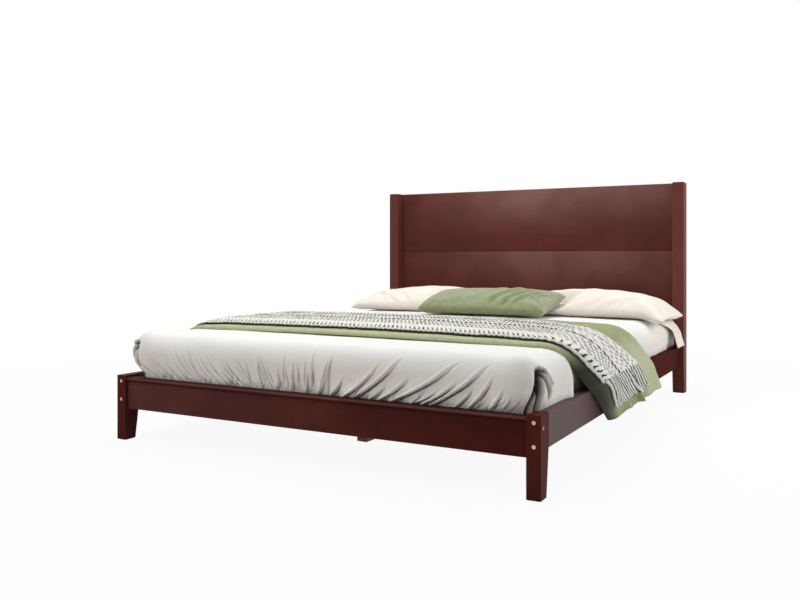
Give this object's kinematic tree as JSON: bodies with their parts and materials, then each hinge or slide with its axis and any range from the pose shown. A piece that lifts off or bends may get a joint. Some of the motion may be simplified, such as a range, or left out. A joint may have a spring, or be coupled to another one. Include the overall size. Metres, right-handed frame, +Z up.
{
  "type": "platform bed",
  "caption": "Low wooden platform bed with a two-board headboard on tapered posts, slatted deck on a centre beam, and a mattress dressed with a white cover, throws and pillows.",
  "frame": {"origin": "on the floor, at the middle of the bed's length and width", "axes": "+X to the right seen from the foot, +Y from the foot to the head, +Z up"},
  "size_m": [1.625, 2.105, 1.02],
  "materials": {
    "cherry_wood": "satin",
    "plain_wood": "matte",
    "brass_bolts": "satin",
    "steel_hardware": "satin",
    "felt": "matte",
    "ticking": "matte",
    "white_cotton": "matte",
    "green_weave": "matte",
    "speckled_knit": "matte",
    "cream_cotton": "matte",
    "green_cushion": "matte"
  },
  "bodies": {
    "frame": {"foot_leg_left": "cherry_wood", "foot_leg_right": "cherry_wood", "headboard_post_left": "cherry_wood", "headboard_post_right": "cherry_wood", "headboard_lower_board": "cherry_wood", "headboard_upper_board": "cherry_wood", "side_rail_left": "cherry_wood", "side_rail_right": "cherry_wood", "foot_rail": "cherry_wood", "foot_rail_cap": "cherry_wood", "head_rail": "cherry_wood", "slat_ledger_left": "plain_wood", "slat_ledger_right": "plain_wood", "centre_beam": "plain_wood", "centre_leg_1": "plain_wood", "centre_leg_2": "plain_wood", "centre_leg_3": "plain_wood", "slat_01": "plain_wood", "slat_02": "plain_wood", "slat_03": "plain_wood", "slat_04": "plain_wood", "slat_05": "plain_wood", "slat_06": "plain_wood", "slat_07": "plain_wood", "slat_08": "plain_wood", "slat_09": "plain_wood", "slat_10": "plain_wood", "slat_11": "plain_wood", "slat_12": "plain_wood", "slat_13": "plain_wood", "dowels": "plain_wood", "side_rail_bolts": "brass_bolts", "foot_rail_bolts": "brass_bolts", "headboard_bolts": "brass_bolts", "barrel_nuts": "steel_hardware", "slat_screws": "steel_hardware", "ledger_screws": "steel_hardware", "hanger_screws": "steel_hardware", "centre_leg_studs": "steel_hardware", "beam_hanger_foot": "steel_hardware", "beam_hanger_head": "steel_hardware", "leg_glides": "felt"},
    "mattress": {"mattress": "ticking", "bed_cover": "white_cotton", "throw_blanket": "green_weave", "knit_throw": "speckled_knit"},
    "bed_pillows": {"pillow_left": "cream_cotton", "pillow_right": "cream_cotton"},
    "accent_pillow": {"accent_pillow": "green_cushion"}
  },
  "joints": [
    {"name": "mattress_lift", "type": "slide", "parent": "frame", "child": "mattress", "axis": [0, 0, 1], "range_m": [0, 0.3]},
    {"name": "pillows_lift", "type": "slide", "parent": "mattress", "child": "bed_pillows", "axis": [0, 0, 1], "range_m": [0, 0.25]},
    {"name": "accent_lift", "type": "slide", "parent": "bed_pillows", "child": "accent_pillow", "axis": [0, 0, 1], "range_m": [0, 0.25]}
  ]
}
